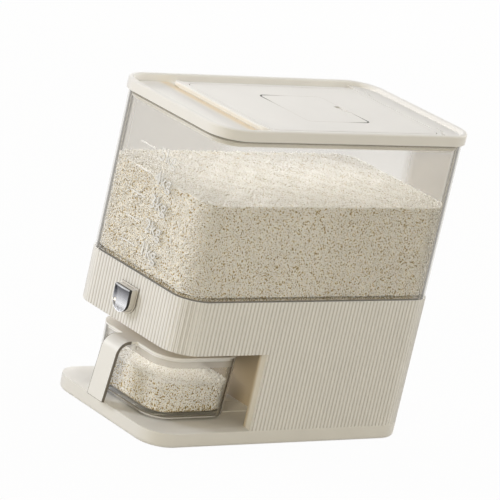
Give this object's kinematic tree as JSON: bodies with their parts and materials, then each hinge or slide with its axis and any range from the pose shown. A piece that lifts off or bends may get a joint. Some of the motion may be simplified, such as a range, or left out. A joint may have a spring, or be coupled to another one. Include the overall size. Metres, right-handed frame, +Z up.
{
  "type": "rice dispenser with drawer",
  "caption": "Upright rice bin with a clear hopper on a fluted body, a hinged filling flap, and a push button that drops rice into a slide-out measuring cup.",
  "frame": {"origin": "under the middle of the bounding box, on the plane the rubber feet stand on", "axes": "+Z up, -Y towards the front with the button and the cup's handle, +X to the right seen from the front"},
  "size_m": [0.1896, 0.345, 0.335],
  "materials": {
    "cream_plastic": "satin moulded ABS",
    "lid_plastic": "satin moulded ABS",
    "white_plastic": "moulded",
    "pearl_plastic": "pearl gloss",
    "bright_metal": "polished",
    "clear_plastic": "clear moulded",
    "clear_cup": "clear moulded, polished",
    "silicone": "translucent silicone",
    "foot_rubber": "matt",
    "steel": "plated",
    "rice": "loose grains"
  },
  "bodies": {
    "base": {"base_tray": "cream_plastic", "rubber_feet": "foot_rubber", "base_screws": "steel", "fluted_body": "cream_plastic", "bay_liner": "cream_plastic", "outlet_chute": "white_plastic", "shutter_guide": "white_plastic", "gate_screws": "steel", "funnel": "white_plastic", "button_bezel": "pearl_plastic", "return_spring": "steel", "hopper_seal": "silicone", "hopper": "clear_plastic", "rice_in_hopper": "rice"},
    "button": {"button_cap": "pearl_plastic", "button_face": "bright_metal", "push_rod": "white_plastic", "shutter": "white_plastic"},
    "lid": {"lid_frame": "lid_plastic", "lid_gasket": "silicone", "hinge_pins": "steel"},
    "flap": {"lid_flap": "lid_plastic", "flap_gasket": "silicone"},
    "pocket_cover": {"desiccant_cover": "lid_plastic"},
    "cup": {"cup": "clear_cup", "cup_cover": "cream_plastic", "rice_in_cup": "rice"}
  },
  "joints": [
    {"name": "button_press", "type": "slide", "parent": "base", "child": "button", "axis": [0, 1, 0], "range_m": [0, 0.009], "stiffness_N_per_m": 250, "springref_m": -0.006, "deforming": ["return_spring"]},
    {"name": "cup_slide", "type": "slide", "parent": "base", "child": "cup", "axis": [0, -1, 0], "range_m": [0, 0.125]},
    {"name": "lid_lift", "type": "slide", "parent": "base", "child": "lid", "axis": [0, 0, 1], "range_m": [0, 0.06]},
    {"name": "flap_hinge", "type": "hinge", "parent": "lid", "child": "flap", "pos_m": [0, 0.14535, 0.3283], "axis": [-1, 0, 0], "range_deg": [0, 100]},
    {"name": "pocket_cover_lift", "type": "slide", "parent": "flap", "child": "pocket_cover", "axis": [0, 0, 1], "range_m": [0, 0.012]}
  ]
}
